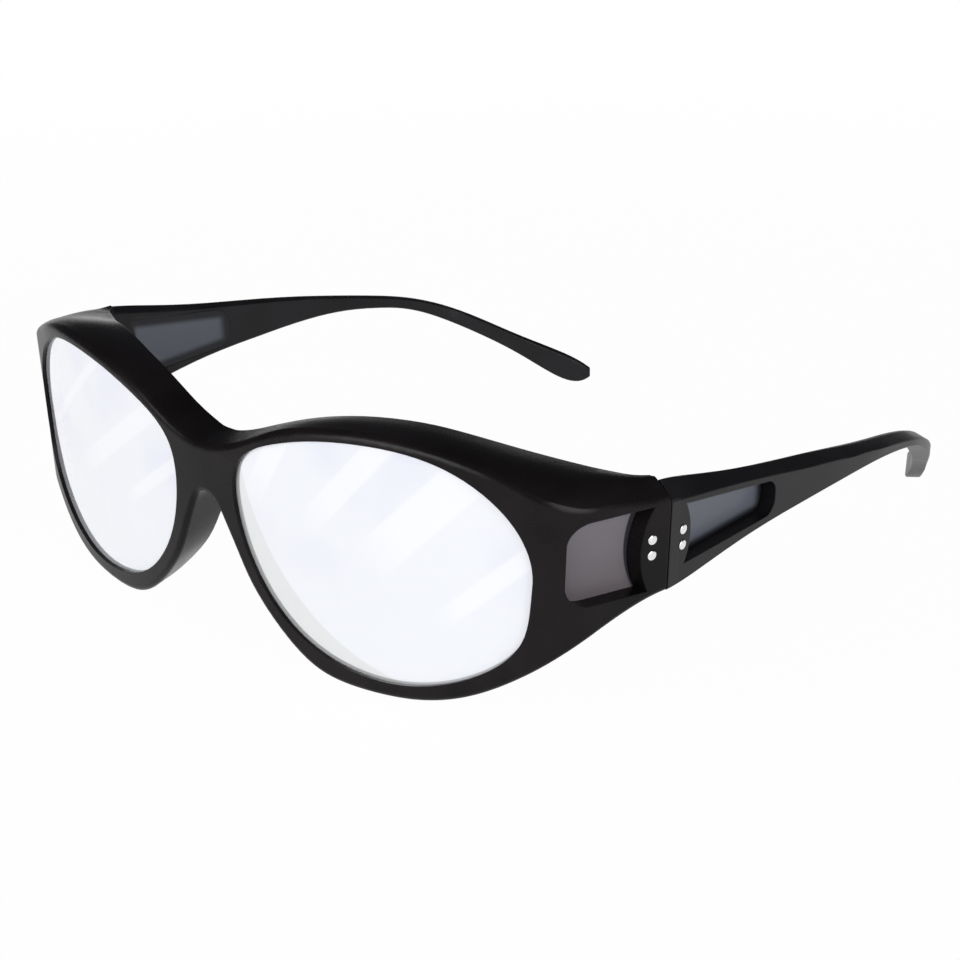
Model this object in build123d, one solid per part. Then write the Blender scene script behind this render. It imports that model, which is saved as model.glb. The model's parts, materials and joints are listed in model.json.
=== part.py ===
from build123d import *
from math import asin, cos, hypot, radians, sin, tan
import os

# Fitover sunglasses: a deep wrap-round front worn over other glasses, with two lenses, two side windows
# let into its arms, and two folding temples with a window each, on riveted barrel hinges.
# The model is built with X towards the wearer's left, Y from the bridge back to the ears and Z up. Heights
# count from near the middle of the lenses. At the end all of it moves to stand on the table at the origin.

# Front frame, in millimetres
half_width = 74.6
hinge_setback = 35.0
brow_height = 22.4
rim_drop = 24.8
face_radius = 184.0
face_half = 36.0
corner_radius = 13.4
corner_start_angle = 24.2
arm_angle = 75.7
face_lean_angle = 2.6
rim_wall = 3.6
shelf_wall = 2.0
arm_wall = 4.2
crown_lift = 2.0
ridge_round = 1.5
rim_round = 0.9

# Lenses: their inner and outer ends go with the front's width, their top and bottom with its height
lens_inner_share = 0.1032
lens_outer_share = 0.87
lens_top_share = 0.911
lens_bottom_share = 0.887
lens_thickness = 1.6
lens_lip = 0.8
lens_groove = 0.9
lens_clearance = 0.06
lens_cut_depth = 20.0

# Side windows and their panes
pane_thickness = 1.25
pane_depth = 2.95
pane_ledge = 1.0
pane_boss_ledge = 0.3
pane_clearance = 0.06
window_flare = 0.5
window_top_share = 0.504
window_bottom_share = 0.121
window_end = 3.1
window_length = 15.1
window_lean = 0.7
window_round = 3.8
window_boss = 2.0

# Temples
temple_reach = 117.6
temple_inset = 26.3
temple_drop = 25.0
temple_thickness = 4.2
temple_bevel = 0.25
tip_round = 0.3
split_gap = 0.3

# Temple windows
temple_window_start = 4.1
temple_window_end = 28.2
temple_window_top_shares = (0.396, 0.276)
temple_window_bottom_shares = (-0.012, 0.052)
temple_window_boss = 1.4
temple_window_round = 2.6

# Hinges
hinge_centre_z = 4.2
hinge_height = 7.0
barrel_radius = 1.3
barrel_stand_in = 1.1
barrel_gap = 0.1
leaf_thickness = 0.8
leaf_length = 4.5
leaf_clearance = 0.05
screw_radius = 0.7
screw_clearance = 0.04
screw_head_radius = 1.1
screw_head_height = 0.5
screw_slot_width = 0.3
screw_slot_depth = 0.25
rivet_setback = 3.45
rivet_spacing = 2.75
rivet_radius = 0.5
rivet_clearance = 0.03
rivet_head_radius = 0.85
rivet_head_height = 0.3
rivet_head_round = 0.12
rivet_seat_depth = 0.1
rivet_tail_radius = 0.75
rivet_tail_height = 0.25
seat_gap = 0.03

# How far cutting bodies run past what they cut, and how near a line an edge of it lies
overrun = 6.0
edge_overrun = 1.0
inner_overrun = 3.0
edge_reach = 1.5
edge_probe_shares = (0.1, 0.5, 0.9)

# The outline of one lens, as shares of its width and height from its middle
lens_outline_shares = (
    (0.5, 0.03), (0.458, 0.274), (0.295, 0.453), (0.005, 0.5), (-0.306, 0.417), (-0.477, 0.269),
    (-0.491, 0.038), (-0.411, -0.222), (-0.266, -0.406), (-0.026, -0.5), (0.281, -0.42), (0.465, -0.208),
)

# Brow: places along the front's plan line, ridge heights there, and the shelf's rear edge across from them.
# Between the two the shelf has a crown: how far in it lies, and how far above the straight line. The rear
# edge runs on past the hinge line, where the arm is cut off.
brow_place_shares = (0, 0.1, 0.185, 0.305, 0.44, 0.58, 0.68, 0.76, 0.853, 0.93, 1)
ridge_height_shares = (0.558, 0.652, 0.817, 0.946, 0.996, 0.938, 0.804, 0.665, 0.587, 0.552, 0.54)
shelf_x_shares = (0, 0.127, 0.228, 0.362, 0.496, 0.623, 0.73, 0.824, 0.888, 0.932, 0.965)
shelf_y_shares = (0.189, 0.194, 0.226, 0.289, 0.389, 0.509, 0.663, 0.8, 0.894, 0.95, 1.1)
shelf_z_shares = (0.6, 0.71, 0.835, 0.946, 0.978, 0.928, 0.82, 0.735, 0.69, 0.672, 0.655)
crown_reach_shares = (0.4, 0.4, 0.4, 0.4, 0.35, 0.3, 0.24, 0.24, 0.3, 0.45, 0.7)
crown_lift_shares = (0.1, 0.1, 0.15, 0.15, 0.2, 0.35, 0.7, 0.95, 0.9, 0.5, 0.2)

# Lower rim, from the nose arch round to the hinge, and the rear edge of its sill across from it
rim_place_shares = (
    0, 0.026, 0.048, 0.07, 0.094, 0.133, 0.185, 0.25, 0.327, 0.403, 0.493, 0.588, 0.672, 0.745, 0.808, 0.885,
    0.962, 1,
)
rim_height_shares = (
    0.139, 0.098, -0.033, -0.189, -0.365, -0.57, -0.762, -0.922, -0.992, -1, -0.972, -0.885, -0.737, -0.562,
    -0.412, -0.285, -0.2, -0.175,
)
sill_x_shares = (
    0, 0.037, 0.067, 0.096, 0.129, 0.177, 0.241, 0.316, 0.402, 0.493, 0.59, 0.685, 0.767, 0.836, 0.885, 0.916,
    0.933, 0.944,
)
sill_y_shares = (
    0.228, 0.234, 0.243, 0.251, 0.257, 0.257, 0.246, 0.217, 0.211, 0.237, 0.289, 0.377, 0.489, 0.611, 0.72,
    0.829, 0.94, 1.04,
)
sill_height_shares = (
    0.172, 0.131, -0.008, -0.172, -0.34, -0.529, -0.721, -0.91, -0.996, -1, -0.985, -0.9, -0.758, -0.585,
    -0.432, -0.295, -0.202, -0.173,
)

# Temple: places along its reach, how far its middle has come in, the heights of its bottom and top there, and
# its thickness. The ridge on its outer side is a share of the way up.
temple_place_shares = (0, 0.129, 0.259, 0.388, 0.491, 0.603, 0.716, 0.819, 0.914, 0.972, 1)
temple_inset_shares = (0, 0.008, 0.015, 0.027, 0.057, 0.133, 0.255, 0.456, 0.703, 0.905, 1)
temple_bottom_shares = (-0.17, -0.09, -0.018, 0.018, 0.026, -0.026, -0.184, -0.455, -0.778, -0.958, -0.93)
temple_top_shares = (0.586, 0.466, 0.362, 0.268, 0.18, 0.08, -0.063, -0.3, -0.56, -0.726, -0.845)
temple_width_shares = (1, 1, 1, 1, 1, 1, 1, 1, 1, 0.95, 0.6)
temple_ridge_shares = (0.833, 0.87, 0.855, 0.775, 0.73, 0.65, 0.6, 0.6, 0.6, 0.6, 0.6)
temple_crest_share = 0.18
temple_bevel_share = 0.07


def plan_turns():
    """Return the plan line's turning directions and the radius that joins the face to the corner."""
    turn_1 = asin(face_half / face_radius)
    turn_2 = radians(corner_start_angle)
    turn_3 = radians(arm_angle)
    across = half_width - face_half - corner_radius * (sin(turn_3) - sin(turn_2))
    back = hinge_setback - face_radius * (1 - cos(turn_1)) - corner_radius * (cos(turn_2) - cos(turn_3))
    side_across = sin(turn_2) - sin(turn_1)
    side_back = cos(turn_1) - cos(turn_2)
    determinant = side_across * sin(turn_3) - side_back * cos(turn_3)
    side_radius = (across * sin(turn_3) - back * cos(turn_3)) / determinant
    return (turn_1, turn_2, turn_3), side_radius


def plan_points(inset):
    """Return the ends and middle of each arc of the front's plan line, and its end at the hinge."""
    (turn_1, turn_2, turn_3), side_radius = plan_turns()
    radii = (face_radius, side_radius, corner_radius)
    starts = (0, turn_1, turn_2)
    ends = (turn_1, turn_2, turn_3)
    centre = Vector(0, face_radius)
    points = []
    for index in range(len(radii)):
        if index:
            step = radii[index - 1] - radii[index]
            centre = centre + Vector(sin(starts[index]), -cos(starts[index])) * step
        for turn in (starts[index], (starts[index] + ends[index]) / 2, ends[index]):
            points.append(centre + Vector(sin(turn), -cos(turn)) * (radii[index] - inset))
    corner_end = points[-1]
    rise = (hinge_setback - corner_end.Y) / sin(turn_3)
    hinge_end = corner_end + Vector(cos(turn_3), sin(turn_3)) * rise
    return points, hinge_end


def plan_edges(face_inset, arm_inset, height):
    """Return the front's plan line at one height: face, side, corner and the arm's straight run."""
    face_points, hinge_end = plan_points(face_inset)
    lift = Vector(0, 0, height)
    turns, _ = plan_turns()
    edges = []
    for first in (0, 3):
        edges.append(Edge.make_three_point_arc(*[point + lift for point in face_points[first:first + 3]]))
    if face_inset == arm_inset:
        edges.append(Edge.make_three_point_arc(*[point + lift for point in face_points[6:9]]))
        edges.append(Edge.make_line(face_points[8] + lift, hinge_end + lift))
        return edges
    arm_points, arm_end = plan_points(arm_inset)
    tangents = [Vector(cos(turn), sin(turn)) for turn in turns[1:]]
    edges.append(Edge.make_spline([face_points[6] + lift, arm_points[8] + lift], tangents=tangents))
    edges.append(Edge.make_line(arm_points[8] + lift, arm_end + lift))
    return edges


def lean_inset(height):
    """The face leans: the plan line moves in below the lenses' middle, and out above it."""
    return -height * tan(radians(face_lean_angle))


def on_plan(share, height):
    """Return the point of the leaning outer face at a share of the plan line's length."""
    inset = lean_inset(height)
    return Wire(plan_edges(inset, inset, height)) @ share


def ridge_points():
    heights = [share * brow_height for share in ridge_height_shares]
    return [on_plan(place, height) for place, height in zip(brow_place_shares, heights)]


def shelf_points():
    rows = zip(shelf_x_shares, shelf_y_shares, shelf_z_shares)
    return [Vector(x * half_width, y * hinge_setback, z * brow_height) for x, y, z in rows]


def crown_points():
    points = []
    rows = zip(ridge_points(), shelf_points(), crown_reach_shares, crown_lift_shares)
    for ridge, rear, reach, lift in rows:
        points.append(ridge + (rear - ridge) * reach + Vector(0, 0, lift * crown_lift))
    return points


def rim_points():
    heights = [share * rim_drop for share in rim_height_shares]
    return [on_plan(place, height) for place, height in zip(rim_place_shares, heights)]


def sill_points():
    rows = zip(sill_x_shares, sill_y_shares, sill_height_shares)
    return [Vector(x * half_width, y * hinge_setback, z * rim_drop) for x, y, z in rows]


def rear_points(height):
    """Give the rear face's line at a height: it runs straight up from the sill's rear edge to the shelf's."""
    shelf_line = Edge.make_spline(shelf_points(), parameters=brow_place_shares)
    points = []
    for place, low in zip(rim_place_shares, sill_points()):
        high = shelf_line.position_at(place, position_mode=PositionMode.PARAMETER)
        point = low + (high - low) * ((height - low.Z) / (high.Z - low.Z))
        points.append(Vector(point.X, point.Y, height))
    return points


def shifted(points, distance):
    """Move an outline towards its inside, square to its own run in the front view."""
    moved = []
    last = len(points) - 1
    for index, point in enumerate(points):
        ahead = points[min(index + 1, last)]
        behind = points[max(index - 1, 0)]
        side = ahead - behind
        run = hypot(side.X, side.Y)
        length = hypot(run, side.Z)
        flat = Vector(side.X, side.Y) * (1 / run)
        moved.append(point + (flat * (-side.Z) + Vector(0, 0, run)) * (distance / length))
    return moved


def both_sides(points):
    """Run a line of points on past the middle to the other side."""
    return [Vector(-point.X, point.Y, point.Z) for point in points[:0:-1]] + points


def both_places(places):
    return [-place for place in places[:0:-1]] + list(places)


def lengthened(outer, inner):
    """Return two lines pushed apart along the lines that join them, so that a face between them overruns."""
    outer_points = []
    inner_points = []
    for outer_point, inner_point in zip(both_sides(outer), both_sides(inner)):
        along = (outer_point - inner_point).normalized()
        outer_points.append(outer_point + along * overrun)
        inner_points.append(inner_point - along * inner_overrun)
    return outer_points, inner_points


def ruled_cutter(outer, inner, places, direction):
    """Make a body that fills everything above or below the ruled face between two lines."""
    outer_points, inner_points = lengthened(outer, inner)
    outer_line = Edge.make_spline(outer_points, parameters=both_places(places))
    inner_line = Edge.make_spline(inner_points, parameters=both_places(places))
    face = Face.make_surface_from_curves(outer_line, inner_line)
    return extrude(face, amount=brow_height + rim_drop, dir=(0, 0, direction))


def crown_cutter():
    """Fill everything above the shelf's crowned top."""
    lines = ridge_points(), crown_points(), shelf_points()
    outer, _ = lengthened(lines[0], lines[1])
    _, inner = lengthened(lines[1], lines[2])
    places = both_places(brow_place_shares)
    wires = []
    for points in (outer, *[both_sides(line) for line in lines], inner):
        wires.append(Wire([Edge.make_spline(points, parameters=places)]))
    return extrude(Shell.make_loft(wires).face(), amount=brow_height + rim_drop, dir=(0, 0, 1))


def leaning_loft(edges_at):
    """Loft between an outline below the rim and one above the brow."""
    wires = [Wire(edges_at(height)) for height in (-rim_drop - edge_overrun, brow_height + edge_overrun)]
    return Solid.make_loft(wires, ruled=True)


def envelope_edges(height):
    """The outer outline at one height: the plan line in front and the rear line behind."""
    inset = lean_inset(height)
    edges = plan_edges(inset, inset, height)
    rear = rear_points(height)
    edges.append(Edge.make_line(edges[-1] @ 1, rear[-1]))
    edges.append(Edge.make_spline(both_sides(rear)).trim(0.5, 1))
    edges.append(Edge.make_line(rear[0], edges[0] @ 0))
    return edges


def cavity_edges(height):
    """The hollow behind the walls at one height, open to the rear."""
    inset = lean_inset(height)
    edges = plan_edges(rim_wall + inset, arm_wall + inset, height)
    end = edges[-1] @ 1
    rear = hinge_setback + overrun
    corner = end + Vector(overrun / tan(radians(arm_angle)), overrun)
    for first, second in ((end, corner), (corner, Vector(0, rear, height))):
        edges.append(Edge.make_line(first, second))
    edges.append(Edge.make_line(Vector(0, rear, height), edges[0] @ 0))
    return edges


def band(outer_depth, inner_depth):
    """Make the leaning layer between two depths below the outer face."""
    def edges_at(height):
        inset = lean_inset(height)
        front = plan_edges(outer_depth + inset, outer_depth + inset, height)
        back = plan_edges(inner_depth + inset, inner_depth + inset, height)
        ends = [Edge.make_line(front[-1] @ 1, back[-1] @ 1), Edge.make_line(back[0] @ 0, front[0] @ 0)]
        return [*front, ends[0], *back[::-1], ends[1]]
    return leaning_loft(edges_at)


def edges_along(solid, line):
    """Pick the edges of a solid that run along a line."""
    picked = []
    for edge in solid.edges():
        if all(line.distance_to(edge @ place) < edge_reach for place in edge_probe_shares):
            picked.append(edge)
    return picked


def past_hinge():
    """Everything behind the arm's end."""
    depth = brow_height + rim_drop
    block = Solid.make_box(half_width + overrun, hinge_setback + overrun, 2 * depth)
    return block.moved(Location((0, hinge_setback - split_gap / 2, -depth)))


def front_shell():
    """Half of the front without its openings: outer face, crowned shelf, sill and the hollow behind."""
    shell = leaning_loft(envelope_edges) - past_hinge() - crown_cutter()
    shell = shell - ruled_cutter(rim_points(), sill_points(), rim_place_shares, -1)
    shell = shell.solids().sort_by(SortBy.VOLUME)[-1]
    ridge = Edge.make_spline(ridge_points(), parameters=brow_place_shares)
    shell = shell.fillet(ridge_round, edges_along(shell, ridge))
    rim = Edge.make_spline(rim_points(), parameters=rim_place_shares)
    shell = shell.fillet(rim_round, edges_along(shell, rim))
    roof_lines = shifted(ridge_points(), -shelf_wall), shifted(shelf_points(), -shelf_wall)
    floor_lines = shifted(rim_points(), shelf_wall), shifted(sill_points(), shelf_wall)
    hollow = leaning_loft(cavity_edges)
    hollow = hollow - ruled_cutter(*roof_lines, brow_place_shares, 1)
    hollow = hollow - ruled_cutter(*floor_lines, rim_place_shares, -1)
    return shell - hollow


def lens_prism(margin):
    """The lens outline in the front view, grown by a margin and run through the face."""
    low = Vector(half_width * lens_inner_share, -overrun, -rim_drop * lens_bottom_share)
    high = Vector(half_width * lens_outer_share, -overrun, brow_height * lens_top_share)
    points = []
    for across, up in lens_outline_shares:
        reach = Vector(across * (high.X - low.X), 0, up * (high.Z - low.Z))
        points.append((low + high) / 2 + reach + reach.normalized() * margin)
    face = Face(Wire([Edge.make_spline(points, periodic=True)]))
    return extrude(face, amount=overrun + lens_cut_depth, dir=(0, 1, 0))


def window_prism(corners, boss, rounding, inner_x, flare=0):
    """Run a side window's outline outward from inside the wall, with a flare at its front and bottom."""
    wires = []
    for x, grown in ((inner_x, 0), (half_width, flare), (half_width + overrun, flare)):
        (start_y, start_z), (top_y, top_z), (low_y, low_z), (end_y, end_z) = corners
        ahead = grown if top_y > start_y else -grown
        points = [
            Vector(x, start_y, start_z), Vector(x, top_y + ahead, top_z),
            Vector(x, low_y + ahead, low_z - grown), Vector(x, end_y, end_z - grown),
        ]
        sides = FilletPolyline(*points, radius=rounding)
        middle = (points[0] + points[-1]) * 0.5 + Vector(0, boss, 0)
        wires.append(Wire([*sides.edges(), Edge.make_three_point_arc(points[-1], middle, points[0])]))
    return Solid.make_loft(wires, ruled=True)


def arm_window(margin, flare=0, behind=0):
    """The arm's window, grown by one margin at its front, top and bottom and by another at its rear."""
    back = hinge_setback - window_end + behind
    front = hinge_setback - window_end - window_length - margin
    top = brow_height * window_top_share + margin
    bottom = -rim_drop * window_bottom_share - margin
    corners = (back, top), (front, top), (front, bottom), (back - window_lean, bottom)
    inner_x = half_width - corner_radius - arm_wall
    return window_prism(corners, -window_boss, window_round + margin, inner_x, flare)


def temple_window(margin, flare=0, ahead=0):
    """The temple's window, grown by one margin at its top, rear and bottom and by another at its front."""
    start = hinge_setback + temple_window_start - ahead
    end = hinge_setback + temple_window_end + margin
    top_start, top_end = [share * temple_drop + margin for share in temple_window_top_shares]
    bottom_start, bottom_end = [share * temple_drop - margin for share in temple_window_bottom_shares]
    corners = (start, top_start), (end, top_end), (end, bottom_end), (start, bottom_start)
    inner_x = half_width - temple_thickness - overrun
    return window_prism(corners, temple_window_boss, temple_window_round + margin, inner_x, flare)


def side_plane(along):
    """A plane on the outer face at the hinge line: x runs back along the face, y up and z outward."""
    lean = radians(face_lean_angle)
    along = along.normalized()
    outward = Vector(along.Y, -along.X, 0) * cos(lean) - Vector(0, 0, sin(lean))
    origin = Vector(half_width - lean_inset(hinge_centre_z), hinge_setback, hinge_centre_z)
    return Plane(origin=origin, x_dir=along, z_dir=outward)


def arm_plane():
    return side_plane(Vector(cos(radians(arm_angle)), sin(radians(arm_angle))))


def temple_middles():
    """Return the middle of the temple, seen from above, at each place along it."""
    points = []
    for place, inset in zip(temple_place_shares, temple_inset_shares):
        x = half_width - temple_thickness / 2 - inset * temple_inset
        points.append(Vector(x, hinge_setback + split_gap / 2 + place * temple_reach))
    return points


def temple_plane():
    first, second = temple_middles()[:2]
    return side_plane(second - first)


def temple_section(plane, bottom, top, ridge, width):
    """One upright section of the temple: flat inside, a ridge outside and a crest that slopes to it."""
    lean = tan(radians(face_lean_angle))
    middle = (top + bottom) / 2
    points = []
    for side, up in (
        (-1, 0), (1, 0), (1, ridge), (-2 * temple_crest_share, 1), (-1, 1 - temple_bevel_share),
    ):
        z = middle + (up - 0.5) * (top - bottom)
        points.append((side * width / 2 + z * lean, z))
    return plane * Wire(Polyline(*points, close=True).edges())


def temple_solid():
    """The temple without its window, lofted through its sections, with bevelled edges and a rounded tip."""
    middles = temple_middles()
    line = Edge.make_spline(middles)
    sections = []
    rows = zip(middles, temple_bottom_shares, temple_top_shares, temple_ridge_shares, temple_width_shares)
    for index, (middle, low, high, ridge, width) in enumerate(rows):
        along = line.tangent_at(line.param_at_point(middle)) if index else Vector(0, 1)
        plane = Plane(origin=middle, x_dir=Vector(along.Y, -along.X), z_dir=-along)
        bottom, top = low * temple_drop, high * temple_drop
        sections.append(temple_section(plane, bottom, top, ridge, width * temple_thickness))
    body = Solid.make_loft(sections)
    long_edges = body.edges().filter_by(lambda edge: edge.length > temple_reach / 2)
    body = body.chamfer(temple_bevel, None, long_edges)
    return body.fillet(tip_round, body.faces().sort_by(Axis.Y)[-1].edges())


def hinge_axis_x():
    return half_width - arm_wall - barrel_stand_in


def hinge_cylinder(radius, bottom, top):
    """A cylinder about the hinge axis between two heights."""
    cylinder = Solid.make_cylinder(radius, top - bottom)
    return cylinder.moved(Location((hinge_axis_x(), hinge_setback, bottom)))


def knuckle_span(index):
    """Return the bottom and top of one of the barrel's three knuckles."""
    pitch = (hinge_height + barrel_gap) / 3
    bottom = hinge_centre_z - hinge_height / 2 + index * pitch
    return bottom, bottom + pitch - barrel_gap


def across_hinge(direction, x_from, x_to, y_from, y_to, bottom, top):
    """A block at the hinge, measured from its line: ahead of it for the arm, behind it for the temple."""
    low, high = sorted((hinge_setback + direction * y_from, hinge_setback + direction * y_to))
    block = Solid.make_box(x_to - x_from, high - low, top - bottom)
    return block.moved(Location((x_from, low, bottom)))


def leaf_plate(plane, direction, grown):
    """The plate of a hinge leaf on the inner face, or with a clearance the pocket that it lies in."""
    length = leaf_length + overrun + grown
    height = hinge_height + 2 * grown
    thickness = leaf_thickness + grown + (overrun if grown else 0)
    centre_x = direction * (leaf_length + grown - length / 2)
    centre_z = leaf_thickness + grown - arm_wall - thickness / 2
    corner = (centre_x - length / 2, -height / 2, centre_z - thickness / 2)
    return plane * Solid.make_box(length, height, thickness).moved(Location(corner))


def hinge_leaf(plane, direction, own, other):
    """One leaf: its plate, its knuckles and the webs between them, bored for the screw and the rivets."""
    bottom = hinge_centre_z - hinge_height / 2 - overrun
    top = hinge_centre_z + hinge_height / 2 + overrun
    reach = half_width + overrun
    beyond = across_hinge(-direction, 0, reach, -split_gap / 2, reach, bottom, top)
    leaf = leaf_plate(plane, direction, 0) - beyond
    for index in own:
        low, high = knuckle_span(index)
        knuckle = hinge_cylinder(barrel_radius, low, high)
        wall_x = half_width - arm_wall
        web = across_hinge(direction, hinge_axis_x(), wall_x, split_gap / 2, barrel_radius, low, high)
        leaf = leaf + knuckle + web
    for index in other:
        low, high = knuckle_span(index)
        leaf = leaf - hinge_cylinder(barrel_radius + barrel_gap, low - barrel_gap, high + barrel_gap)
    leaf = leaf - hinge_cylinder(screw_radius + screw_clearance, bottom, top)
    for centre in rivet_centres(direction):
        leaf = leaf - plane * rivet_shaft(centre, rivet_radius + rivet_clearance)
    return leaf


def rivet_centres(direction):
    return [(direction * rivet_setback, side * rivet_spacing / 2) for side in (-1, 1)]


def rivet_shaft(centre, radius):
    """A cylinder square through the wall, with an overrun at both faces."""
    x, y = centre
    length = arm_wall + 2 * overrun
    return Solid.make_cylinder(radius, length).moved(Location((x, y, -arm_wall - overrun)))


def rivet(plane, centre):
    """A rivet: a flat head let into the outer face, a shaft and a tail on the leaf."""
    x, y = centre
    head_bottom = -rivet_seat_depth + seat_gap
    head = Solid.make_cylinder(rivet_head_radius, rivet_head_height)
    head = head.chamfer(rivet_head_round, None, head.edges().group_by(Axis.Z)[-1])
    tail = Solid.make_cylinder(rivet_tail_radius, rivet_tail_height)
    tail_top = -arm_wall - seat_gap
    shaft = Solid.make_cylinder(rivet_radius, head_bottom - tail_top)
    parts = head.moved(Location((x, y, head_bottom))) + shaft.moved(Location((x, y, tail_top)))
    parts = parts + tail.moved(Location((x, y, tail_top - rivet_tail_height)))
    return plane * parts


def hinge_screw():
    """The pin screw: a slotted head on the top knuckle and a shank down to the bottom of the barrel."""
    bottom = hinge_centre_z - hinge_height / 2
    top = hinge_centre_z + hinge_height / 2 + seat_gap
    head_top = top + screw_head_height
    screw = hinge_cylinder(screw_radius, bottom, head_top) + hinge_cylinder(screw_head_radius, top, head_top)
    length = 2 * (screw_head_radius + edge_overrun)
    slot = Solid.make_box(screw_slot_width, length, screw_slot_depth + edge_overrun)
    corner = (hinge_axis_x() - screw_slot_width / 2, hinge_setback - length / 2, head_top - screw_slot_depth)
    return screw - slot.moved(Location(corner))


def hinge_room(plane, direction):
    """What the wall gives up to the hinge: the leaf's pocket, room round the barrel and the rivets' holes."""
    low = hinge_centre_z - hinge_height / 2 - split_gap
    high = hinge_centre_z + hinge_height / 2 + screw_head_height + split_gap
    room = leaf_plate(plane, direction, leaf_clearance)
    room = room + hinge_cylinder(barrel_radius + split_gap / 2, low, high)
    web_x = half_width - arm_wall + leaf_clearance
    room = room + across_hinge(direction, hinge_axis_x(), web_x, 0, barrel_radius + leaf_clearance, low, high)
    for centre in rivet_centres(direction):
        x, y = centre
        seat = Solid.make_cylinder(rivet_head_radius + leaf_clearance, rivet_seat_depth + overrun)
        seat = seat.moved(Location((x, y, -rivet_seat_depth)))
        room = room + plane * (seat + rivet_shaft(centre, rivet_radius + rivet_clearance))
    return room


def lens():
    inner_depth = lens_lip + lens_thickness
    return band(lens_lip, inner_depth) & lens_prism(lens_groove)


def side_pane():
    """The pane in the arm: it follows the corner, behind a ledge round the window."""
    return band(pane_depth, pane_depth + pane_thickness) & arm_window(pane_ledge, 0, pane_boss_ledge)


def front_half():
    """One half of the front, up to its hinge."""
    half = front_shell() - lens_prism(0)
    groove = band(lens_lip - lens_clearance, lens_lip + lens_thickness + lens_clearance)
    half = half - (groove & lens_prism(lens_groove + lens_clearance))
    rebate = band(pane_depth - pane_clearance, arm_wall + edge_overrun)
    rebate = rebate & arm_window(pane_ledge + pane_clearance, 0, pane_boss_ledge + pane_clearance)
    half = half - arm_window(0, window_flare) - rebate
    return half - hinge_room(arm_plane(), -1)


def temple_slab(outer_depth, inner_depth):
    """A flat slab inside the temple's front part, between two depths below its outer face."""
    reach = temple_window_end + 2 * overrun
    tall = 2 * temple_drop
    slab = Solid.make_box(reach, tall, inner_depth - outer_depth)
    return temple_plane() * slab.moved(Location((0, -tall / 2, -inner_depth)))


def temple_pane():
    slab = temple_slab(pane_depth, pane_depth + pane_thickness)
    return slab & temple_window(pane_ledge, 0, pane_boss_ledge)


def temple():
    """The temple with its window, the pane's rebate behind it, and room for the hinge."""
    rebate = temple_slab(pane_depth - pane_clearance, temple_thickness + overrun)
    rebate = rebate & temple_window(pane_ledge + pane_clearance, 0, pane_boss_ledge + pane_clearance)
    body = temple_solid() - temple_window(0, window_flare) - rebate
    return body - hinge_room(temple_plane(), 1)


def mirrored(solid):
    return solid.mirror(Plane.YZ)


def build():
    """Return every piece by name, still in the frame of the lenses."""
    half = front_half()
    sides = {
        "lens": lens(),
        "side_window": side_pane(),
        "front_leaf": hinge_leaf(arm_plane(), -1, (0, 2), (1,)),
        "front_rivet_lower": rivet(arm_plane(), rivet_centres(-1)[0]),
        "front_rivet_upper": rivet(arm_plane(), rivet_centres(-1)[1]),
        "hinge_screw": hinge_screw(),
        "temple": temple(),
        "temple_window": temple_pane(),
        "temple_leaf": hinge_leaf(temple_plane(), 1, (1,), (0, 2)),
        "temple_rivet_lower": rivet(temple_plane(), rivet_centres(1)[0]),
        "temple_rivet_upper": rivet(temple_plane(), rivet_centres(1)[1]),
    }
    pieces = {"front_frame": half + mirrored(half)}
    for name, solid in sides.items():
        pieces["left_" + name] = solid
        pieces["right_" + name] = mirrored(solid)
    return pieces


def placed_on_table(pieces):
    """Move all pieces so that the origin is under the middle of the whole, on the table."""
    boxes = [solid.bounding_box() for solid in pieces.values()]
    front = min(box.min.Y for box in boxes)
    back = max(box.max.Y for box in boxes)
    floor = min(box.min.Z for box in boxes)
    step = Vector(0, -(front + back) / 2, -floor)
    return {name: solid.moved(Location(step)) for name, solid in pieces.items()}, step


os.makedirs("parts", exist_ok=True)
placed, step = placed_on_table(build())
for name, solid in placed.items():
    export_step(solid, "parts/" + name + ".step")
print("moved by", step)
print("hinge axis at", hinge_axis_x(), hinge_setback + step.Y, hinge_centre_z + step.Z)
print(len(placed), "pieces")
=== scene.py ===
# %% [markdown]
# # Fitover sunglasses, dressed for the camera
#
# These are large black sunglasses that go over other glasses. The CAD model brings the moulding,
# the lenses, the side windows and the riveted hinges, each as a piece of its own at its real size.
# This lesson gives every one of them a finish, thins the ends of the temples, swaps the plain
# rivets for domed ones, and sets up floor, world, lamps and camera.
#
# The cells are run from top to bottom. Each one prints what it made or measured.

# %% Load the CAD model
import json
from functools import reduce
from math import cos, radians, sin, tau

import bmesh
import bpy
from mathutils import Matrix, Vector


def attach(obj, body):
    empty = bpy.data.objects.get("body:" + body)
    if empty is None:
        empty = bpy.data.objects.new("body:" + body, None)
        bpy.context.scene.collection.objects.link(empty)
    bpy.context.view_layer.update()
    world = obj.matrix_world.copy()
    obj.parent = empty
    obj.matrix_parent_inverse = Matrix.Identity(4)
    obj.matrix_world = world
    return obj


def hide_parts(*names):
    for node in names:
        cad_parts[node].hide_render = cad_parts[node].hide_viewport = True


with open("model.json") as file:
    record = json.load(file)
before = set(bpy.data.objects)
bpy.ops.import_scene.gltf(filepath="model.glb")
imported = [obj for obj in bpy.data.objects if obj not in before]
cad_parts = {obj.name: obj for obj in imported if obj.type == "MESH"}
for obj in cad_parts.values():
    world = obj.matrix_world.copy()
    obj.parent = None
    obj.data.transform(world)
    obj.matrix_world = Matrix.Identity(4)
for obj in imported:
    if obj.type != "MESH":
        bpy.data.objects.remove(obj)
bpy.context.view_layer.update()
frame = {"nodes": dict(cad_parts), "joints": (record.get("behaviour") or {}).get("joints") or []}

print("pieces:", sorted(frame["nodes"]))

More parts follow.
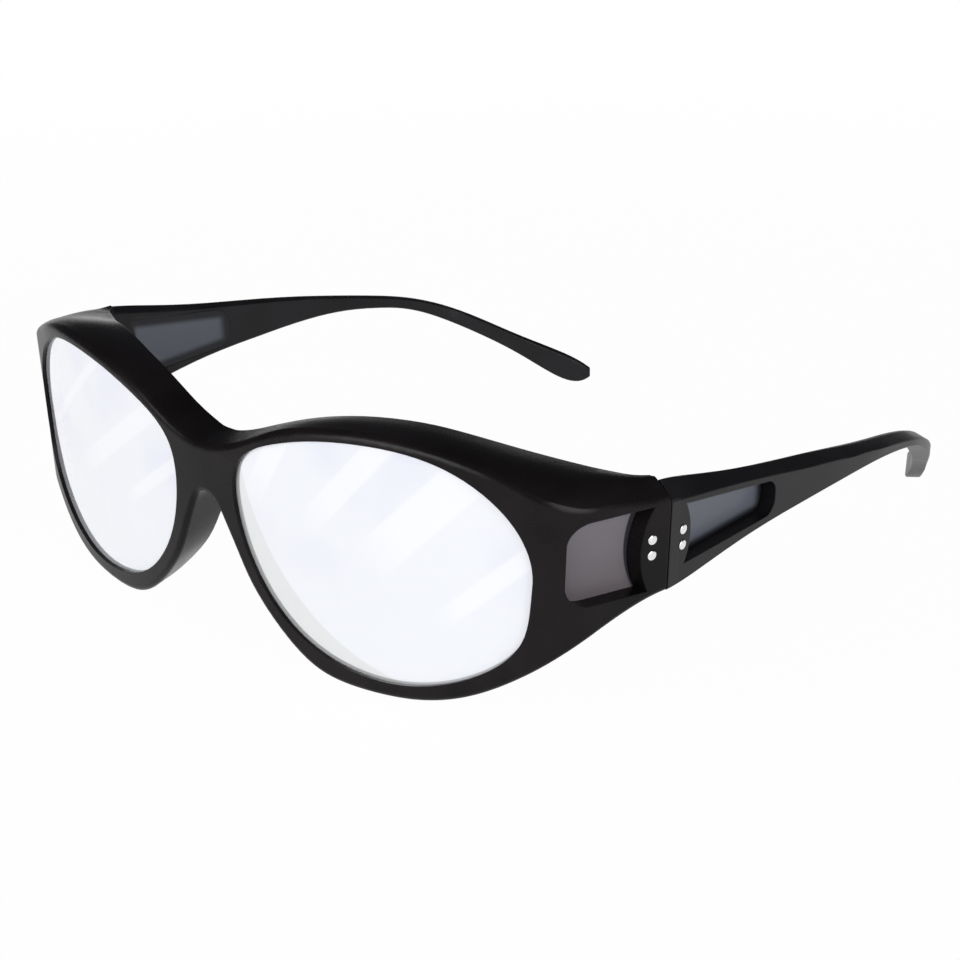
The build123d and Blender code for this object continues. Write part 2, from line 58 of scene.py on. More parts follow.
# %% [markdown]
# ## Where things are
#
# The CAD model stands on the table with its middle at the origin. The patterns below are easier to
# place from the middle of the lenses, so we find that point first. The left hinge tells us where it
# is: seen from there, the hinge pin lies 35 mm back and 4.2 mm up. One millimetre gets a name too,
# because Blender counts in metres.

# %% The middle of the lenses
mm = 0.001
hinge_back, hinge_up = 35.0 * mm, 4.2 * mm
left_hinge = next(joint for joint in frame["joints"] if joint["name"] == "left_temple_fold")
pin = Vector(left_hinge["pos_m"])
lens_middle = Vector((0, pin.y - hinge_back, pin.z - hinge_up))
print("middle of the lenses:", [round(value / mm, 2) for value in lens_middle])

# %% [markdown]
# ## Sums that add nodes
#
# A finish is a small calculation: a pattern times a strength, plus a base value. Blender does it
# with nodes, and linking them by hand is slow to read. The class below wraps one socket. When two
# readings are added or multiplied in Python, it adds the Math node that does the same, so
# `1 - mask` reads like a sum and is one.
#
# Every other node comes from one method, `node`. Its settings are set first, because some of them
# decide which sockets the node has. A Mix node, for one, has sockets for numbers, vectors and
# colours side by side, so `tint` counts to the two that take colours.

# %% A socket that can be used in sums
def feed(tree, node, values):
    """Give a node's sockets numbers or colours, or link readings to them."""
    for name, value in values.items():
        if isinstance(value, Reading):
            tree.links.new(value.socket, node.inputs[name])
        else:
            node.inputs[name].default_value = value


class Reading:
    """One socket of a finish's node tree, which can stand in a sum as a number does."""

    def __init__(self, tree, socket=None):
        self.tree = tree
        self.socket = socket

    def node(self, kind, settings=None, values=None, output=0):
        """Add a node, set its settings, then feed its sockets."""
        new = self.tree.nodes.new(kind)
        for name, setting in (settings or {}).items():
            setattr(new, name, setting)
        feed(self.tree, new, values or {})
        return Reading(self.tree, new.outputs[output])

    def sum_node(self, operation, first, second):
        return self.node("ShaderNodeMath", {"operation": operation}, {0: first, 1: second})

    def __add__(self, other):
        return self.sum_node("ADD", self, other)

    def __sub__(self, other):
        return self.sum_node("SUBTRACT", self, other)

    def __rsub__(self, other):
        return self.sum_node("SUBTRACT", other, self)

    def __mul__(self, other):
        return self.sum_node("MULTIPLY", self, other)

    def __pow__(self, other):
        return self.sum_node("POWER", self, other)

    __radd__ = __add__
    __rmul__ = __mul__

    def most(self, other):
        return self.sum_node("MAXIMUM", self, other)

    def rise(self, low, high):
        """Turn this reading into a soft mask: 0 below low, 1 above high."""
        values = {"Value": self, "From Min": low, "From Max": high}
        return self.node("ShaderNodeMapRange", {"interpolation_type": "SMOOTHSTEP"}, values)

    def tint(self, dark, pale):
        """Mix two colours by this reading: dark where it is 0, pale where it is 1."""
        factor, first_colour, second_colour, mixed_colour = 0, 6, 7, 2
        values = {factor: self, first_colour: dark, second_colour: pale}
        return self.node("ShaderNodeMix", {"data_type": "RGBA"}, values, mixed_colour)


print("readings can be added, multiplied and turned into masks")

# %% [markdown]
# ## Patterns to start from
#
# Three helpers save typing. `noise` is Blender's cloudy pattern, which is what most real surfaces
# vary by. `axis_readings` takes a place apart, so that a pattern can follow height or depth.
# `distance` puts such parts together again, to draw circles and to drop a sign.
#
# A pattern is mostly used through `rise`, between a low and a high level. In the cells below, such
# a pair is called a turn where the levels are the pattern's own, and a band where they are metres.

# %% Noise, axes and distances
def noise(start, place, scale, detail=2.0, roughness=0.5):
    """Return a cloudy pattern between 0 and 1, finer with a larger scale."""
    values = {"Vector": place, "Scale": scale, "Detail": detail, "Roughness": roughness}
    return start.node("ShaderNodeTexNoise", values=values)


def axis_readings(place):
    """Split a place into its three readings in metres."""
    return [
        place.node("ShaderNodeSeparateXYZ", values={0: place}, output=index) for index in range(3)
    ]


def distance(*parts):
    """Return the length of a way from its parts, or of one part the size without its sign."""
    return reduce(Reading.__add__, [part * part for part in parts]) ** 0.5


print("patterns: noise, axis readings, distances")

# %% [markdown]
# ## From a screen colour to a shader colour
#
# Colours picked from a picture are written as hex codes, in the screen's own scale. Shaders want
# linear light. Every colour below goes through this helper, so that it renders about as it is
# written. The numbers in it are those of the sRGB standard.

# %% Colours from hex codes
def to_linear(level):
    """Turn one screen level between 0 and 1 into linear light."""
    return level / 12.92 if level <= 0.04045 else ((level + 0.055) / 1.055) ** 2.4


def paint(code):
    """Return a hex colour such as 2e2b2c as linear red, green, blue and alpha."""
    return (*(to_linear(int(code[index:index + 2], 16) / 255) for index in (0, 2, 4)), 1)


print("paint('808080') gives", [round(level, 3) for level in paint("808080")])

# %% [markdown]
# ## Starting a finish
#
# Each finish is a Principled shader in a material of its own. Two things go in: what stays the same
# over the whole surface, which is written straight on the shader, and what varies, which is linked.
# Patterns read Object coordinates. They are fixed to the piece, so a pattern stays where it is when
# a temple folds.

# %% Make a finish, and give it to a CAD piece
direction_output, normal_output, object_output = 0, 1, 3


def new_finish(name):
    """Return a new material, its starting reading, its place reading and its shader."""
    material = bpy.data.materials.new(name)
    material.use_nodes = True
    tree = material.node_tree
    start = Reading(tree)
    place = start.node("ShaderNodeTexCoord", output=object_output)
    return material, start, place, tree.nodes["Principled BSDF"]


def set_shader(start, shader, **values):
    """Write or link the shader's sockets, named with underscores for spaces."""
    feed(start.tree, shader, {name.replace("_", " "): value for name, value in values.items()})


def dress(node_name, material):
    """Put a finish on a CAD piece in place of its plain one."""
    piece = frame["nodes"][node_name]
    if not piece.data.materials:
        piece.data.materials.append(material)
    for slot in piece.material_slots:
        slot.material = material
    print(node_name, "wears", material.name)


print("ready to mix finishes")

# %% [markdown]
# ## Matte black moulded plastic
#
# The front and the temples are injection-moulded in one black plastic. It is never a flat black:
# the mould gives it a fine grain that spreads the light, hands polish it a little in patches, and
# long flow lines run through it. A very fine noise drives the bump, a slow one the roughness, and
# a third, stretched along the temples, shifts the colour a little together with the slow one.
#
# A moulding has no knife edges either. The Bevel node softens the light on them by a quarter of a
# millimetre, which costs no corners in the mesh. The front's copy of the black is made a shade
# darker than the temples' copy and reflects a little less: that is painted shade, because the front
# lies in deeper shade than the temples.

# %% The moulding's finish
grain_scale, patch_scale, flow_scale = 2600.0, 70.0, 160.0
patch_share, flow_share = 0.6, 0.4
colour_turn, polish_turn = (0.35, 0.65), (0.3, 0.7)
along_temples = (1.0, 0.25, 1.0)
grain_depth, grain_strength, grain_roughness = 0.02 * mm, 0.35, 0.12
edge_radius, edge_samples = 0.25 * mm, 4


def moulded_black(name, dark, pale, polished, rough, refraction):
    """Make the matte black: fine mould grain, patches of polish and a slight drift of colour."""
    material, start, place, shader = new_finish(name)
    grain = noise(start, place, grain_scale, detail=3.0, roughness=0.6)
    patches = noise(start, place, patch_scale)
    flow_place = start.node(
        "ShaderNodeMapping", values={"Vector": place, "Scale": along_temples}
    )
    flow = noise(start, flow_place, flow_scale, detail=3.0)
    blend = patches * patch_share + flow * flow_share
    polish = patches.rise(*polish_turn) * (rough - polished) + polished
    soft_edges = start.node("ShaderNodeBevel", {"samples": edge_samples}, {"Radius": edge_radius})
    bump = start.node("ShaderNodeBump", values={
        "Height": grain, "Distance": grain_depth, "Strength": grain_strength,
        "Normal": soft_edges,
    })
    set_shader(
        start, shader, Base_Color=blend.rise(*colour_turn).tint(dark, pale),
        Roughness=polish + (grain - 0.5) * grain_roughness, Normal=bump, IOR=refraction,
        Specular_IOR_Level=0.4,
    )
    return material


# Painted shade: the front's copy is darker and reflects less than the temples' copy.
front_black_and_shade = moulded_black(
    "front_black_and_shade", paint("110f10"), paint("191517"), polished=0.24, rough=0.32, refraction=1.24
)
temple_black = moulded_black(
    "temple_black", paint("151416"), paint("1e1c20"), polished=0.3, rough=0.38, refraction=1.32
)
dress("front_frame", front_black_and_shade)

# %% [markdown]
# ## How a temple runs
#
# Towards the tip, a temple gets thinner from the outside, so that it bends easily behind the ear.
# The CAD temple has one thickness, so its end is thinned here, by moving the corners of a copy. To
# know where a corner lies between the outer and the inner face, we follow the temple's middle line
# in plan. The table gives that line: places along the temple, as shares of its reach, each with
# the millimetres by which the line has come in there.

# %% The temple's middle line
temple_start, temple_reach, temple_middle_x = 35.15, 117.6, 72.5
bend = ((0.716, 6.7), (0.819, 12.0), (0.914, 18.5), (0.972, 23.8), (1.03, 29.1))


def place_to_y(place):
    """Return how far back a place along the temple lies, in metres."""
    return lens_middle.y + (temple_start + temple_reach * place) * mm


def y_to_place(back):
    """Return the place along the temple, as a share of its reach."""
    return ((back - lens_middle.y) / mm - temple_start) / temple_reach


def middle_line(place):
    """Return how far the middle has come in at a place, and how steeply it comes in there."""
    for (place_a, in_a), (place_b, in_b) in zip(bend, bend[1:]):
        if place <= place_b:
            break
    slope = (in_b - in_a) / ((place_b - place_a) * temple_reach)
    return (in_a + (place - place_a) * temple_reach * slope) * mm, slope


print("at the tip the middle has come in", round(middle_line(1)[0] / mm, 1), "mm")

# %% [markdown]
# ## Thinning the end
#
# Each corner of the last quarter slides inwards: the ones on the outer face most, the ones on the
# inner face not at all. The slide starts softly, so that no kink shows where it begins.

# %% Where a corner goes
thickness, most_off = 4.2 * mm, 1.75 * mm
thin_from, thin_over = 0.76, 0.2


def share_between(value, low, high):
    """Return how far a value is on its way from low to high, held between 0 and 1."""
    return min(max((value - low) / (high - low), 0), 1)


def thin_end(spot, side_sign):
    """Return where a corner of the temple goes when its end is thinned from the outside."""
    place = y_to_place(spot.y)
    come_in, slope = middle_line(place)
    across = (spot.x * side_sign - temple_middle_x * mm + come_in) / (1 + slope * slope) ** 0.5
    share = share_between(across, -thickness / 2, thickness / 2)
    rise = share_between(place, thin_from, thin_from + thin_over)
    outward = Vector((side_sign, slope, 0)).normalized()
    return spot - outward * (share * most_off * rise * rise * (3 - 2 * rise))


print("the end gets up to", round(most_off / mm, 2), "mm thinner")

# %% [markdown]
# ## Copies that stand for CAD pieces
#
# A CAD piece is never changed. Where the lesson needs another shape, it makes a piece of its own
# that stands for the CAD one. Such a piece is shaded smooth, but for edges that are sharper than a
# given angle.

# %% From a bmesh to a piece
def new_piece(shell, name):
    """Turn a bmesh into an object of the same name in the scene."""
    mesh = bpy.data.meshes.new(name)
    shell.to_mesh(mesh)
    shell.free()
    piece = bpy.data.objects.new(name, mesh)
    bpy.context.scene.collection.objects.link(piece)
    return piece


def finish_piece(piece, material, sharp_from):
    """Shade a piece smooth but for its sharp edges, in degrees, and give it a finish."""
    piece.data.shade_smooth()
    piece.data.set_sharp_from_angle(angle=radians(sharp_from))
    piece.data.materials.append(material)


print("ready to make pieces")

# %% [markdown]
# ## The temples
#
# We take a copy of the CAD temple and merge its loose triangles. Slivers in its flat faces would
# catch the light, so those faces are made whole. Only corners can be moved, so we cut extra rings
# into the last quarter before we thin it. A Weighted Normal modifier then lets the large faces
# decide how the light falls.

# %% The temples with thin ends
weld_gap, cut_gap = 0.002 * mm, 0.001 * mm
flat_within = radians(0.8)
ring_count, ring_step = 10, 0.023


def thin_temple(side, side_sign):
    """Make the temple that is seen: the CAD temple with a thinned end."""
    node_name = side + "_temple"
    shell = bmesh.new()
    shell.from_mesh(frame["nodes"][node_name].data)
    bmesh.ops.remove_doubles(shell, verts=shell.verts, dist=weld_gap)
    bmesh.ops.dissolve_limit(shell, angle_limit=flat_within, verts=shell.verts, edges=shell.edges)
    for ring in range(ring_count):
        ring_y = place_to_y(thin_from + ring_step * ring)
        everything = shell.verts[:] + shell.edges[:] + shell.faces[:]
        bmesh.ops.bisect_plane(
            shell, geom=everything, dist=cut_gap, plane_co=(0, ring_y, 0), plane_no=(0, 1, 0)
        )
    for corner in shell.verts:
        if corner.co.y > place_to_y(thin_from):
            corner.co = thin_end(corner.co, side_sign)
    piece = new_piece(shell, node_name + "_thinned")
    finish_piece(piece, temple_black, sharp_from=21)
    flatter = piece.modifiers.new("flat_faces_stay_flat", "WEIGHTED_NORMAL")
    flatter.keep_sharp = True
    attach(piece, node_name)
    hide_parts(node_name)
    print(piece.name, len(piece.data.polygons), "faces")


thin_temple("left", 1)
thin_temple("right", -1)

# %% [markdown]
# ## Painted reflections on the lenses
#
# A few white bands of painted reflection fall over each lens from upper right to lower left, each
# with a crisp edge along its length and a soft foot. Noise would put them just anywhere, so each
# one
# is drawn instead: it has a top, a foot and half a width, counted in millimetres from the lens's
# own middle.

# %% One painted reflection
reflection_blur = 0.35
fade_from, fade_to = 0.55, 1.1


def reflection_streak(across, up, top, foot, half_width):
    """Return a mask for one painted reflection that starts at its top and fades out at its foot."""
    way = Vector(foot) - Vector(top)
    along_x, along_z = way.x / way.length, way.y / way.length
    from_top_x, from_top_z = across - top[0] * mm, up - top[1] * mm
    along = from_top_x * along_x + from_top_z * along_z
    aside = distance(from_top_x * along_z - from_top_z * along_x)
    inside = 1 - aside.rise((half_width - reflection_blur) * mm, (half_width + reflection_blur) * mm)
    return inside * (1 - along.rise(way.length * fade_from * mm, way.length * fade_to * mm))


# Where the painted reflections lie on each lens: top, foot and half a width.
near_reflections = (
    ((-14.5, 23.0), (-25.0, 6.0), 2.0),
    ((3.0, 20.5), (-13.0, 3.5), 2.1),
    ((14.5, 14.5), (0.0, 0.0), 3.4),
    ((26.0, 4.5), (12.0, -8.5), 1.6),
)
far_reflections = (
    ((-1.0, 17.0), (-23.0, 0.0), 0.9),
    ((14.0, 10.5), (-9.0, -4.5), 1.9),
    ((24.5, 5.0), (9.0, -5.5), 1.2),
)
print(len(near_reflections), "streaks on the near lens,", len(far_reflections), "on the far one")

# %% [markdown]
# ## The lenses
#
# The lenses are very pale, with a light mirror coating. It shows faint lavender clouds in its upper
# half. Over these go painted reflections, white bands from upper right to lower left, and a grey
# crescent is painted beside the nose. The coating is a shiny layer on the lens, so the finish is
# half metallic under a clear coat.
#
# A wide circle cuts off the crescent: what lies beyond it is grey. Each lens has its own circle,
# given by its centre and its radius in millimetres. The lens's edge wall sits in the rim's groove,
# where no light comes, so it is painted dark: its normals point neither forward nor back, and the
# mask `face` finds it by that.

# %% The lenses' finish
lens_aside, lens_up = 36.3, -0.8
cloud_scale, cloud_turn, cloud_band = 46.0, (0.42, 0.7), (-9 * mm, 9 * mm)
crescent_strength, crescent_blur, reflection_strength = 0.8, 0.2, 0.6
near_crescent, far_crescent = (12.0, 18.0, 39.5), (-6.0, 16.0, 41.0)
wall_turn = (0.1, 0.2)
lens_white, lavender, nose_grey = paint("edeff4"), paint("e3e4f2"), paint("dee0df")
# The pale white paints the reflections; the black paints the shade in the rim's groove on the
# lens's edge wall.
reflection_white, groove_shade_black = paint("f6f7fa"), paint("0d0c0e")


def mirror_lens(name, side_sign, reflections, crescent):
    """Make the pale coated lens, its pattern counted from the lens's own middle."""
    material, start, place, shader = new_finish(name)
    middle = lens_middle + Vector((side_sign * lens_aside, 0, lens_up)) * mm
    local = start.node("ShaderNodeVectorMath", {"operation": "SUBTRACT"}, {0: place, 1: middle})
    across, _, up = axis_readings(local)
    cloud_noise = noise(start, local, cloud_scale, detail=1.5)
    clouds = cloud_noise.rise(*cloud_turn) * up.rise(*cloud_band)
    cloudy = clouds.tint(lens_white, lavender)
    # A grey crescent painted beyond a wide circle, beside the nose.
    centre_x, centre_z, radius = crescent
    from_centre = distance(across - centre_x * mm, up - centre_z * mm)
    beyond = from_centre.rise((radius - crescent_blur) * mm, (radius + crescent_blur) * mm)
    shaded = (beyond * crescent_strength).tint(cloudy, nose_grey)
    # Painted reflection: white bands laid over the lens colour.
    reflection_mask = reduce(Reading.most, [reflection_streak(across, up, *row) for row in reflections])
    reflected = (reflection_mask * reflection_strength).tint(shaded, reflection_white)
    _, forward, _ = axis_readings(start.node("ShaderNodeTexCoord", output=normal_output))
    face = distance(forward).rise(*wall_turn)
    set_shader(
        start, shader, Base_Color=face.tint(groove_shade_black, reflected),
        Roughness=clouds * 0.05 + 0.06, Metallic=0.55, Coat_Weight=face * 0.5,
        Coat_Roughness=0.03,
    )
    return material


dress("left_lens", mirror_lens("left_lens_coating", 1, near_reflections, near_crescent))
dress("right_lens", mirror_lens("right_lens_coating", -1, far_reflections, far_crescent))

# %% [markdown]
# ## Where a pane is painted dark
#
# Four small tinted panes let the wearer see to the side. Each is painted dark along part of its
# edge. On the front panes that is a narrow band round the hinge's boss, whose edge is a circle. The
# temple panes lie on a ledge all round, so their border is dark, and it fades towards the clear
# middle. Each of the two masks below is 1 where the pane is clear. Both count from the middle of
# the lenses.

# %% Masks for the panes
def past_boss(back, up):
    """1 on a front pane outside the circle round the hinge's boss, 0 in it."""
    boss_back, boss_edge, pane_edge = 43.7 * mm, 14.7 * mm, 14.9 * mm
    return distance(back - boss_back, up - hinge_up).rise(boss_edge, pane_edge)


def inside_ledge(back, up):
    """1 in the middle of a temple pane, 0 over its ledge, which runs along four straight lines."""
    front_end, rear_end = 39.3 * mm, 63.3 * mm
    top_front, top_rear = 9.9 * mm, 6.9 * mm
    bottom_front, bottom_rear = -0.3 * mm, 1.3 * mm
    dark_to, clear_from, clear_from_rear = -0.1 * mm, 1.3 * mm, 2.2 * mm
    share = (back - front_end) * (1 / (rear_end - front_end))
    top = share * (top_rear - top_front) + top_front
    bottom = share * (bottom_rear - bottom_front) + bottom_front
    front = (back - front_end).rise(dark_to, clear_from)
    rear = (rear_end - back).rise(dark_to, clear_from_rear)
    upper = (top - up).rise(dark_to, clear_from)
    lower = (up - bottom).rise(dark_to, clear_from)
    return front * rear * upper * lower


print("masks: past_boss for the front panes, inside_ledge for the temple panes")

# %% [markdown]
# ## The side windows
#
# The panes in the front are a warm grey, those in the temples a cool one. The tint isn't even: it
# drifts with height, from a lower to an upper shade. One can look through a real pane, but from
# outside it mostly shows its own grey. Alpha acts on both faces of a pane and brings out odd
# shapes behind them, so the panes are made nearly opaque, in the colour that they show.

# %% The panes' finish
drift_scale, drift_height = 240.0, 4 * mm
tint_band = (-4 * mm, 12 * mm)


def pane_finish(name, low_tint, high_tint, dark_edge_tint, clear_mask):
    """Make a tinted pane that drifts with height and is painted dark where its mask is 0."""
    material, start, place, shader = new_finish(name)
    _, back, up = axis_readings(place)
    back, up = back - lens_middle.y, up - lens_middle.z
    drift = noise(start, place, drift_scale)
    shade = (up + (drift - 0.5) * drift_height).rise(*tint_band)
    tint = clear_mask(back, up).tint(dark_edge_tint, shade.tint(low_tint, high_tint))
    set_shader(
        start, shader, Base_Color=tint, Roughness=drift * 0.06 + 0.3, Specular_IOR_Level=0.25,
        Alpha=0.96,
    )
    return material


# The front panes are painted dark in a band round the boss, the temple panes over their ledge.
warm_pane = pane_finish(
    "warm_pane", paint("655f63"), paint("736f75"), paint("2b2a30"), past_boss
)
cool_pane = pane_finish(
    "cool_pane", paint("5a5e67"), paint("61646e"), paint("1d1e22"), inside_ledge
)
for side in ("left", "right"):
    dress(side + "_side_window", warm_pane)
    dress(side + "_temple_window", cool_pane)

# %% [markdown]
# ## Steel for the hinges
#
# The hinge leaves are stamped from steel strip, so they carry fine straight lines along the strip.
# Noise that is stretched along one axis gives such lines. The screw is the same steel.

# %% Brushed steel
line_scale, along_strip = 6000.0, (1.0, 0.05, 1.0)
line_depth, line_strength = 0.01 * mm, 0.4


def brushed_steel(name):
    """Make steel with fine lines along the strip that it was stamped from."""
    material, start, place, shader = new_finish(name)
    strip_place = start.node("ShaderNodeMapping", values={"Vector": place, "Scale": along_strip})
    lines = noise(start, strip_place, line_scale)
    bump = start.node("ShaderNodeBump", values={
        "Height": lines, "Distance": line_depth, "Strength": line_strength,
    })
    set_shader(
        start, shader, Base_Color=lines.tint(paint("8b8b8f"), paint("b9bac0")),
        Roughness=lines * 0.2 + 0.22, Metallic=1.0, Normal=bump,
    )
    return material


steel = brushed_steel("hinge_steel")
for side in ("left", "right"):
    for name in ("_front_leaf", "_temple_leaf", "_hinge_screw"):
        dress(side + name, steel)

# %% [markdown]
# ## Bright metal for the rivets
#
# The rivets are set with a polished tool, so they are bright and only slightly cloudy. The clouds
# vary both the colour and the roughness.

# %% Polished metal
haze_scale = 1500.0


def bright_rivet(name):
    """Make polished metal with a slight cloudiness."""
    material, start, place, shader = new_finish(name)
    clouds = noise(start, place, haze_scale, detail=3.0)
    set_shader(
        start, shader, Base_Color=clouds.tint(paint("d6d6da"), paint("f3f3f4")),
        Roughness=clouds * 0.12 + 0.14, Metallic=1.0,
    )
    return material


bright = bright_rivet("rivet_bright")
print("made", bright.name)

# %% [markdown]
# ## Where a rivet goes
#
# A real rivet's head isn't a flat disc: the setting tool leaves a low dome with a rounded rim, and
# its tail is spread on the leaf inside. Where such a rivet goes is read off the CAD rivet: its
# largest flat faces look along its axis, and the ring of corners at its low end is its tail.

# %% A rivet's line
way_digits, corner_digits, tail_band = 3, 7, 0.01 * mm


def rivet_line(node_name):
    """Return where a rivet's tail ends, the way that its head looks, and its length."""
    mesh = frame["nodes"][node_name].data
    areas = {}
    for face in mesh.polygons:
        way = tuple(round(value, way_digits) for value in face.normal)
        areas[way] = areas.get(way, 0) + face.area
    axis = Vector(max(areas, key=areas.get)).normalized()
    if axis.x * mesh.vertices[0].co.x < 0:
        axis.negate()
    heights = [corner.co.dot(axis) for corner in mesh.vertices]
    low, high = min(heights), max(heights)
    ring = {
        tuple(round(value, corner_digits) for value in corner.co)
        for corner, height in zip(mesh.vertices, heights) if height < low + tail_band
    }
    tail = sum((Vector(point) for point in ring), Vector()) / len(ring)
    return tail, axis, high - low


print("first rivet's length:", round(rivet_line("left_front_rivet_lower")[2] / mm, 2), "mm")

# %% [markdown]
# ## A rivet's outline
#
# A rivet is a turned body, so half of its outline is all that has to be drawn. The two tables hold
# the steps of tail and head: how far out each one lies, as a share of the edge's radius, and how
# high, in millimetres.

# %% Half of a rivet
shaft, tail_edge, head_edge = 0.5 * mm, 0.75 * mm, 0.85 * mm
tail_height, head_height = 0.25, 0.3
tail_steps = ((0, 0), (0.6, 0.02), (0.9, 0.07), (1, 0.15), (1, tail_height))
head_steps = (
    (1, 0), (1, 0.1), (0.97, 0.16), (0.88, 0.2), (0.6, 0.26), (0.3, 0.29), (0, head_height),
)


def rivet_outline(length):
    """Half of a rivet's outline from tail to head, as distances from its axis and heights."""
    head = length - head_height * mm
    return [
        *((tail_edge * share, height * mm) for share, height in tail_steps),
        (shaft, tail_height * mm), (shaft, head),
        *((head_edge * share, head + height * mm) for share, height in head_steps),
    ]


print("outline points:", len(rivet_outline(6 * mm)))

# %% [markdown]
# ## Turned rivets
#
# Spinning the outline once round gives the body. It is set upright on the CAD rivet's axis, rides
# on the same body as that one, and stands for it.

# %% The rivets
spin_steps, seam_gap = 40, 0.001 * mm


def turned_rivet(node_name, body_name):
    """Spin a rivet's outline into a solid that stands for the CAD rivet, on the same axis."""
    tail, axis, length = rivet_line(node_name)
    turning = bmesh.new()
    corners = [turning.verts.new((out, 0, height)) for out, height in rivet_outline(length)]
    edges = [turning.edges.new(pair) for pair in zip(corners, corners[1:])]
    bmesh.ops.spin(
        turning, geom=corners + edges, cent=(0, 0, 0), axis=(0, 0, 1), dvec=(0, 0, 0), angle=tau,
        steps=spin_steps, use_merge=True,
    )
    bmesh.ops.remove_doubles(turning, verts=turning.verts, dist=seam_gap)
    bmesh.ops.recalc_face_normals(turning, faces=turning.faces)
    upright = axis.to_track_quat("Z", "Y").to_matrix().to_4x4()
    onto_axis = Matrix.Translation(tail) @ upright
    bmesh.ops.transform(turning, matrix=onto_axis, verts=turning.verts)
    piece = new_piece(turning, node_name + "_turned")
    finish_piece(piece, bright, sharp_from=50)
    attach(piece, body_name)
    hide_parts(node_name)
    print(piece.name, round(length / mm, 2), "mm long,", len(piece.data.polygons), "faces")


for side in ("left", "right"):
    for level in ("lower", "upper"):
        turned_rivet(side + "_front_rivet_" + level, "front")
        turned_rivet(side + "_temple_rivet_" + level, side + "_temple")

# %% [markdown]
# ## Floor and backdrop
#
# The product stands in front of plain white. A large pale floor does it: to the camera, to mirrors
# and to glass it glows almost white, and to everything else it is an ordinary pale surface. Near
# the glasses a trace of the ordinary surface is left in, with the faint shadow that falls on it.
# It fades out further away, and there the floor is as white as the world behind it, so no horizon
# shows.

# %% The floor
def seen_by(tree, *kinds):
    """Return a reading that is 1 for the named kinds of ray."""
    rays = tree.nodes.new("ShaderNodeLightPath")
    return reduce(Reading.most, [Reading(tree, rays.outputs[f"Is {kind} Ray"]) for kind in kinds])


floor_reach = 3.0
glow_near, fade_band = 0.98, (0.15, 0.6)
white = (1, 1, 1, 1)
sheet = bmesh.new()
bmesh.ops.create_grid(sheet, x_segments=1, y_segments=1, size=floor_reach)
floor = new_piece(sheet, "floor")
floor_paint, start, spot, base = new_finish("floor_paint")
set_shader(start, base, Base_Color=paint("f2f2f2"), Roughness=0.9, Specular_IOR_Level=0.0)
tree = start.tree
glow = start.node("ShaderNodeEmission", values={"Color": white, "Strength": 1.0})
from_middle = start.node("ShaderNodeVectorMath", {"operation": "LENGTH"}, {0: spot}, 1)
glow_share = from_middle.rise(*fade_band) * (1 - glow_near) + glow_near
share = seen_by(tree, "Camera", "Glossy", "Transmission") * glow_share
ordinary = Reading(tree, base.outputs[0])
mix = start.node("ShaderNodeMixShader", values={0: share, 1: ordinary, 2: glow})
tree.links.new(mix.socket, tree.nodes["Material Output"].inputs["Surface"])
floor.data.materials.append(floor_paint)
print("floor is", round(floor.dimensions.x, 1), "m wide")

# %% [markdown]
# ## The world
#
# The world is white where it is seen, and a dim grey where it only lights. It darkens overhead,
# like the black ceiling of a studio: this is what keeps the shelf along the brow deep black while
# the sides catch a sheen.

# %% The world
low_light, ceiling_light = (0.55, 0.55, 0.56, 1), (0.06, 0.06, 0.065, 1)
ceiling_turn = (-0.2, 0.12)
world = bpy.data.worlds.new("studio")
bpy.context.scene.world = world
world.use_nodes = True
tree = world.node_tree
start = Reading(tree)
direction = start.node("ShaderNodeTexCoord", output=direction_output)
_, _, height = axis_readings(direction)
dim = height.rise(*ceiling_turn).tint(low_light, ceiling_light)
colour = seen_by(tree, "Camera", "Transmission").tint(dim, white)
feed(tree, tree.nodes["Background"], {"Color": colour, "Strength": 1.0})
print("world: white to the camera, dim and dark overhead for the light")

# %% [markdown]
# ## Lamps
#
# Two large soft boxes light the glasses: one in front of the lenses, one at the side by the near
# hinge. They stand low, so that their light grazes the front and the temples and leaves the top
# dark.

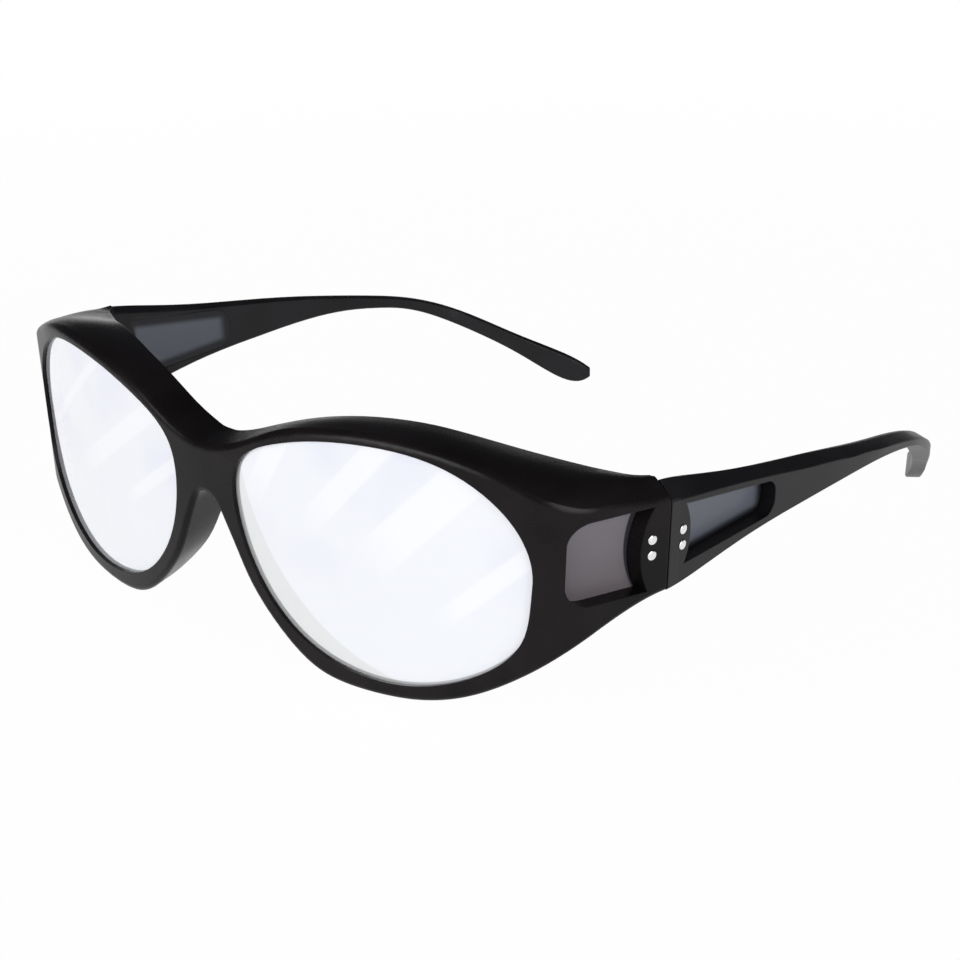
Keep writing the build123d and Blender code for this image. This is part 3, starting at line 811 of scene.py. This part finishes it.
# %% The lamps
def soft_box(name, place, aim, width, height, power):
    """Add a rectangular lamp that looks at a point."""
    lamp = bpy.data.lights.new(name, "AREA")
    lamp.shape = "RECTANGLE"
    lamp.size, lamp.size_y = width, height
    lamp.energy = power
    box = bpy.data.objects.new(name, lamp)
    bpy.context.scene.collection.objects.link(box)
    box.location = place
    box.rotation_euler = (Vector(aim) - Vector(place)).to_track_quat("-Z", "Y").to_euler()
    print(name, "gives", power, "W")


soft_box(
    "front_box", place=(-0.15, -0.9, 0.28), aim=(0, -0.05, 0.02), width=0.7, height=0.5, power=7.0
)
soft_box(
    "side_box", place=(0.9, -0.15, 0.3), aim=(0.05, 0, 0.02), width=0.6, height=0.5, power=6.0
)

# %% [markdown]
# ## The camera
#
# The camera was fitted to the photograph together with the shapes: it looks from the front left of
# the wearer, a little from above. The fit gave its direction, its distance and its focal length.
# A small tilt of the glasses on the table turns the camera by the same amount, about a point near
# the lenses. Angles are in radians and lengths in millimetres.

# %% The camera
azimuth, elevation, tilt = 0.7679, 0.3574, 0.0185
distance_back, shift_right, shift_up = 380.0, 47.5005, 5.2602
focal_pixels, frame_pixels, sensor = 2192.2837, 960, 36.0
pivot, nearest_seen = Vector((0, 4.0, 0)), 10.0
backward = Vector((
    sin(azimuth) * cos(elevation), -cos(azimuth) * cos(elevation), sin(elevation)
))
rightward = Vector((cos(azimuth), sin(azimuth), 0))
upward = backward.cross(rightward)
eye = backward * distance_back + rightward * shift_right + upward * shift_up
turn = Matrix.Rotation(-tilt, 3, "X")
eye = turn @ (eye - pivot) + pivot
axes = Matrix([turn @ axis for axis in (rightward, upward, backward)]).transposed()
camera_data = bpy.data.cameras.new("camera")
camera_data.sensor_width = sensor
camera_data.lens = sensor * focal_pixels / frame_pixels
camera_data.clip_start = nearest_seen * mm
camera = bpy.data.objects.new("camera", camera_data)
bpy.context.scene.collection.objects.link(camera)
camera.matrix_world = Matrix.Translation(lens_middle + eye * mm) @ axes.to_4x4()
bpy.context.scene.camera = camera
print("camera at", [round(value, 4) for value in camera.location])
print("lens", round(camera_data.lens, 2), "mm")

# %% [markdown]
# ## Finish
#
# The view transform is set to Standard, so that colours come out as written.

# %% View
bpy.context.scene.view_settings.view_transform = "Standard"
